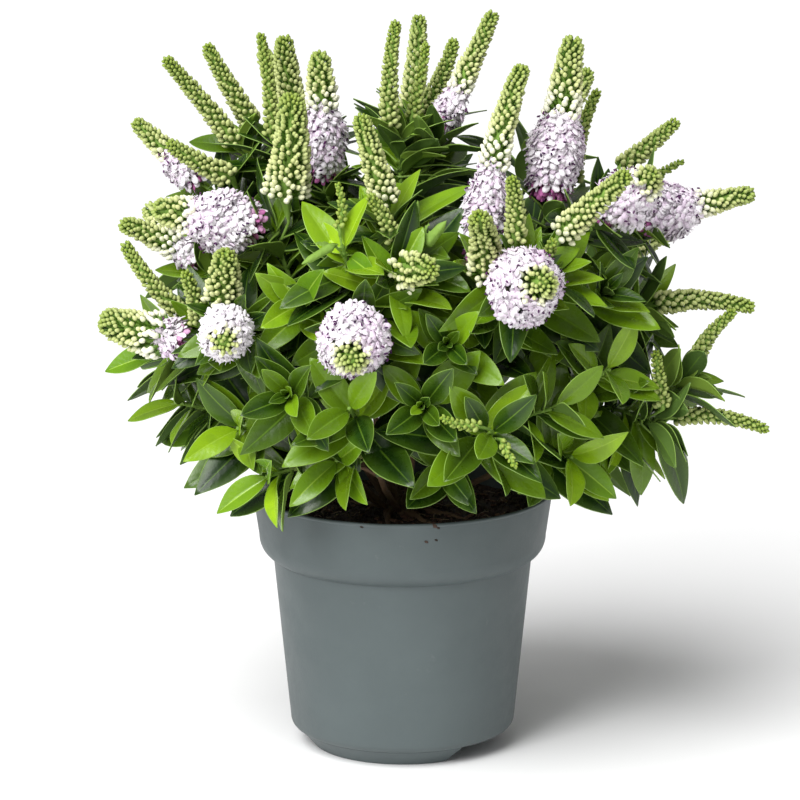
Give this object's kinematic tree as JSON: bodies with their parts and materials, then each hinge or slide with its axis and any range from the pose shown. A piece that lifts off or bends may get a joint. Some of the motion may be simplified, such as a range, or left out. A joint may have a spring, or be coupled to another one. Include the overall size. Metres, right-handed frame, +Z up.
{
  "type": "potted hebe",
  "caption": "Potted hebe shrub: glossy opposite leaves, bud spikes and pale flower spikes on forking shoots, in a round nursery pot with a collar and a notched foot.",
  "frame": {"origin": "middle of the pot's base, on the surface that the pot stands on", "axes": "+Z up, and -Y is the front, the side with the largest open flowers"},
  "size_m": [0.305, 0.272, 0.345],
  "materials": {
    "pot": "matte slate grey",
    "soil": "dark moist peat",
    "wood": "rough bark",
    "leaves": "glossy green leaf",
    "buds": "soft matte green bud",
    "flowers": "soft pale petal"
  },
  "bodies": {
    "root": {"bloom_back_left": "flowers", "bloom_back_middle": "flowers", "bloom_front_middle": "flowers", "bloom_left_front": "flowers", "bloom_left_lower": "flowers", "bloom_left_middle": "flowers", "bloom_left_near": "flowers", "bloom_left_rear": "flowers", "bloom_right_far": "flowers", "bloom_right_inner": "flowers", "bloom_right_middle": "flowers", "bloom_right_near": "flowers", "bloom_right_tall": "flowers", "bloom_top_left": "flowers", "bloom_top_right": "flowers", "branch_back": "leaves", "branch_back_left": "leaves", "branch_back_right": "leaves", "branch_front": "leaves", "branch_front_left": "leaves", "branch_front_low": "leaves", "branch_front_right": "leaves", "branch_front_right_low": "leaves", "branch_front_top": "leaves", "branch_left_high": "leaves", "branch_left_low": "leaves", "branch_left_middle": "leaves", "branch_right": "leaves", "branch_right_high": "leaves", "branch_right_low": "leaves", "branch_top": "leaves", "nursery_pot": "pot", "potting_soil": "soil", "spike_back_left": "buds", "spike_back_low": "buds", "spike_back_right": "buds", "spike_back_top": "buds", "spike_front_middle": "buds", "spike_front_tall": "buds", "spike_left_broad": "buds", "spike_left_front": "buds", "spike_left_inner": "buds", "spike_left_lower": "buds", "spike_left_near": "buds", "spike_left_rear": "buds", "spike_left_slim": "buds", "spike_left_tall": "buds", "spike_left_upper": "buds", "spike_right_low": "buds", "spike_right_lowest": "buds", "spike_right_near": "buds", "spike_right_outer": "buds", "spike_right_rear": "buds", "spike_right_slant": "buds", "spike_right_slim": "buds", "spike_right_small": "buds", "spike_top_rear": "buds", "spike_top_slim": "buds", "spike_top_tall": "buds", "woody_crown": "wood"}
  },
  "joints": []
}
